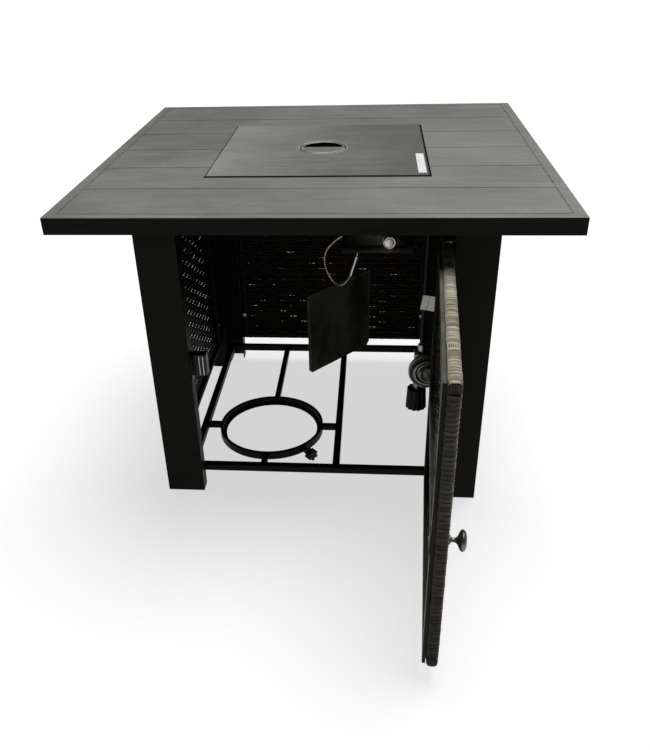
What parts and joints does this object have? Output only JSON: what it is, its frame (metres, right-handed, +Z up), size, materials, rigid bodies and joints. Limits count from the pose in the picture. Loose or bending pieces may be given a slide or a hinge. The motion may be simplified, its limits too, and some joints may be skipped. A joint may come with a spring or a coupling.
{
  "type": "fire pit table",
  "caption": "Square gas fire pit table: folded steel deck and legs, woven side panels, hinged woven door on a gas cylinder bay, and a lift-off lid over the burner.",
  "frame": {"origin": "on the floor, midway between the four foot plates' holes", "axes": "+X to the right of someone who faces the door, +Y from the door to the back, +Z up"},
  "size_m": [0.813, 1.1473, 0.6127],
  "materials": {
    "deck_steel": "satin powder coat",
    "frame_steel": "satin powder coat",
    "woven_resin": "flat woven strand",
    "bright_steel": "bare steel",
    "zinc_steel": "zinc plated",
    "brass": "machined",
    "cast_grey": "die cast",
    "rubber": "smooth rubber",
    "black_plastic": "moulded",
    "knob_metal": "satin plated",
    "label_white": "bare label film",
    "placard_black": "bare laminated sheet"
  },
  "bodies": {
    "table": {"table_top": "deck_steel", "control_panel": "deck_steel", "leg_front_left": "frame_steel", "leg_front_right": "frame_steel", "leg_back_left": "frame_steel", "leg_back_right": "frame_steel", "foot_plates": "frame_steel", "base_rails_cross": "frame_steel", "base_rails_side": "frame_steel", "header_rail": "frame_steel", "top_rail_back": "frame_steel", "top_rails_side": "frame_steel", "tank_ring": "frame_steel", "ring_stubs": "frame_steel", "ring_screw_boss": "frame_steel", "panel_frames": "frame_steel", "pivot_brackets": "frame_steel", "lid_ledge": "frame_steel", "panel_weave_left": "woven_resin", "panel_weave_right": "woven_resin", "panel_weave_back": "woven_resin", "burner_pan": "bright_steel", "burner": "bright_steel", "lanyard_cable": "bright_steel", "lanyard_ferrule": "bright_steel", "electrode_pins": "bright_steel", "pivot_pins": "zinc_steel", "screw_heads": "zinc_steel", "catch_poles": "zinc_steel", "lanyard_hook": "zinc_steel", "hose_crimp": "zinc_steel", "gas_valve": "brass", "orifice_block": "brass", "hose_elbow": "brass", "feed_tube": "brass", "regulator_neck": "brass", "regulator_body": "cast_grey", "regulator_cap": "cast_grey", "gas_hose": "rubber", "catch_housing": "black_plastic", "igniter_housing": "black_plastic", "hose_tag": "label_white"},
    "door": {"door_frame": "frame_steel", "door_weave": "woven_resin", "door_backing": "frame_steel", "strike_plate": "zinc_steel", "door_knob": "knob_metal", "door_knob_screw": "zinc_steel"},
    "lid": {"lid_panel": "deck_steel", "lid_pull": "deck_steel", "lid_label": "label_white"},
    "stem": {"valve_stem": "zinc_steel"},
    "knob": {"control_knob": "knob_metal"},
    "button": {"igniter_button": "black_plastic"},
    "screw": {"ring_screw": "zinc_steel"},
    "screw_head": {"ring_screw_head": "black_plastic"},
    "wheel": {"hand_wheel": "black_plastic"},
    "placards": {"placards": "placard_black"}
  },
  "joints": [
    {"name": "door_hinge", "type": "hinge", "parent": "table", "child": "door", "pos_m": [0.2227, -0.2882, 0.2875], "axis": [0, 0, 1], "range_deg": [-86.7, 18]},
    {"name": "lid_lift", "type": "slide", "parent": "table", "child": "lid", "axis": [0, 0, 1], "range_m": [0, 0.3]},
    {"name": "knob_push", "type": "slide", "parent": "table", "child": "stem", "axis": [0, 1, 0], "range_m": [0, 0.003], "stiffness_N_per_m": 400},
    {"name": "knob_turn", "type": "hinge", "parent": "stem", "child": "knob", "pos_m": [0.126, -0.258, 0.518], "axis": [0, -1, 0], "range_deg": [0, 180]},
    {"name": "igniter_push", "type": "slide", "parent": "table", "child": "button", "axis": [0, 1, 0], "range_m": [0, 0.006], "stiffness_N_per_m": 300},
    {"name": "screw_feed", "type": "slide", "parent": "table", "child": "screw", "axis": [-0.682, 0.7314, 0], "range_m": [0, 0.004]},
    {"name": "screw_turn", "type": "hinge", "parent": "screw", "child": "screw_head", "pos_m": [-0.0236, -0.206, 0.037], "axis": [-0.682, 0.7314, 0], "range_deg": [0, 1440]},
    {"name": "wheel_turn", "type": "hinge", "parent": "table", "child": "wheel", "pos_m": [0.187, -0.226, 0.19], "axis": [0, 0, 1], "continuous": true},
    {"name": "placard_swing", "type": "hinge", "parent": "table", "child": "placards", "pos_m": [0.0409, -0.2036, 0.4152], "axis": [0.6639, 0.7478, 0], "range_deg": [0, 8]}
  ],
  "couplings": [
    {"joint": "screw_feed", "follows": "screw_turn", "m_per_rad": 0.000159}
  ]
}
